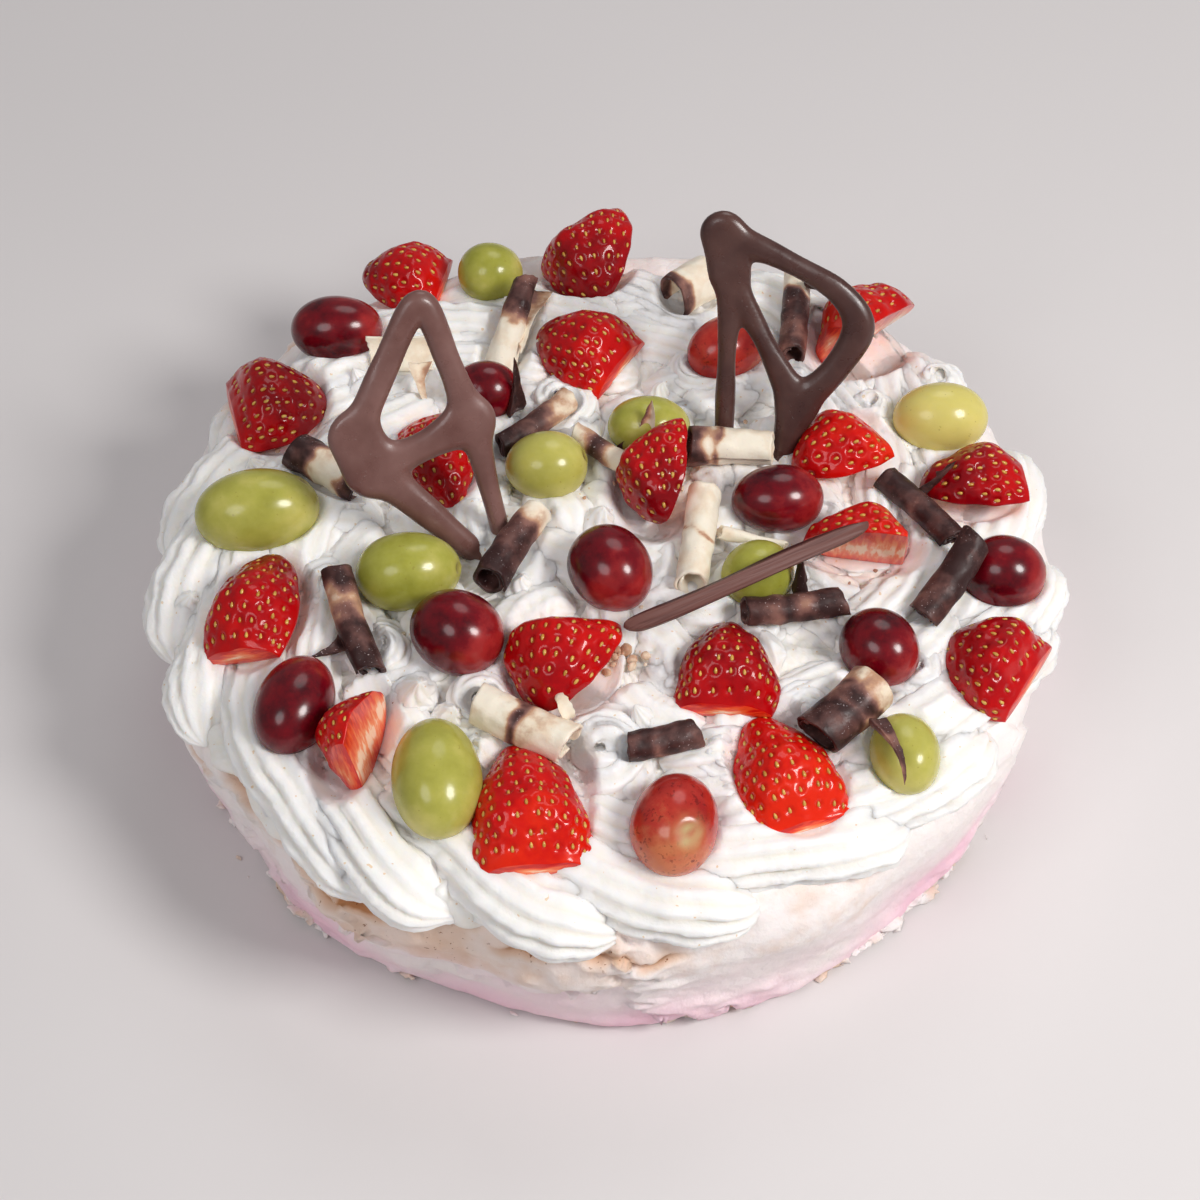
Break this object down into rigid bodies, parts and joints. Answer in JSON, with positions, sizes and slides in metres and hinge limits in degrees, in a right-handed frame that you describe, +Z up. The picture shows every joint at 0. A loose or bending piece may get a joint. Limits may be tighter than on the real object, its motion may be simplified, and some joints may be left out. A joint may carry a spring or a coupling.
{
  "type": "pavlova",
  "caption": "Round pavlova: a baked meringue base under piped whipped cream, topped with cut strawberries, grapes, rolled chocolate curls and chocolate lattices.",
  "frame": {"origin": "under the middle of the whole's box, on the surface that the meringue stands on", "axes": "+Z up, +X to the right and +Y to the back, with the chocolate lattices leaning to the back"},
  "size_m": [0.234, 0.2348, 0.12],
  "materials": {
    "meringue": "dry matte baked meringue",
    "whipped_cream": "soft whipped cream, faint sheen",
    "strawberry": "moist glossy fruit",
    "red_grape": "smooth glossy fruit skin",
    "green_grape": "smooth translucent fruit skin",
    "dark_chocolate": "tempered chocolate, satin",
    "milk_chocolate": "tempered milk chocolate, satin",
    "white_chocolate": "white chocolate, satin"
  },
  "bodies": {
    "root": {"chocolate_lattice_left": "milk_chocolate", "chocolate_lattice_right": "dark_chocolate", "chocolate_stick": "dark_chocolate", "cream": "whipped_cream", "curl_01": "dark_chocolate", "curl_02": "white_chocolate", "curl_03": "dark_chocolate", "curl_04": "dark_chocolate", "curl_05": "dark_chocolate", "curl_06": "white_chocolate", "curl_07": "white_chocolate", "curl_08": "white_chocolate", "curl_09": "white_chocolate", "curl_10": "dark_chocolate", "curl_11": "dark_chocolate", "curl_12": "dark_chocolate", "curl_13": "dark_chocolate", "curl_14": "dark_chocolate", "curl_15": "white_chocolate", "curl_16": "dark_chocolate", "curl_17": "white_chocolate", "curl_18": "white_chocolate", "green_grape_01": "green_grape", "green_grape_02": "green_grape", "green_grape_03": "green_grape", "green_grape_04": "green_grape", "green_grape_05": "green_grape", "green_grape_06": "green_grape", "green_grape_07": "green_grape", "green_grape_08": "green_grape", "green_grape_09": "green_grape", "meringue": "meringue", "red_grape_01": "red_grape", "red_grape_02": "red_grape", "red_grape_03": "red_grape", "red_grape_04": "red_grape", "red_grape_05": "red_grape", "red_grape_06": "red_grape", "red_grape_07": "red_grape", "red_grape_08": "red_grape", "red_grape_09": "red_grape", "red_grape_10": "red_grape", "strawberry_01": "strawberry", "strawberry_02": "strawberry", "strawberry_03": "strawberry", "strawberry_04": "strawberry", "strawberry_05": "strawberry", "strawberry_06": "strawberry", "strawberry_07": "strawberry", "strawberry_08": "strawberry", "strawberry_09": "strawberry", "strawberry_10": "strawberry", "strawberry_11": "strawberry", "strawberry_12": "strawberry", "strawberry_13": "strawberry", "strawberry_14": "strawberry", "strawberry_15": "strawberry", "strawberry_16": "strawberry", "strawberry_17": "strawberry"}
  },
  "joints": []
}
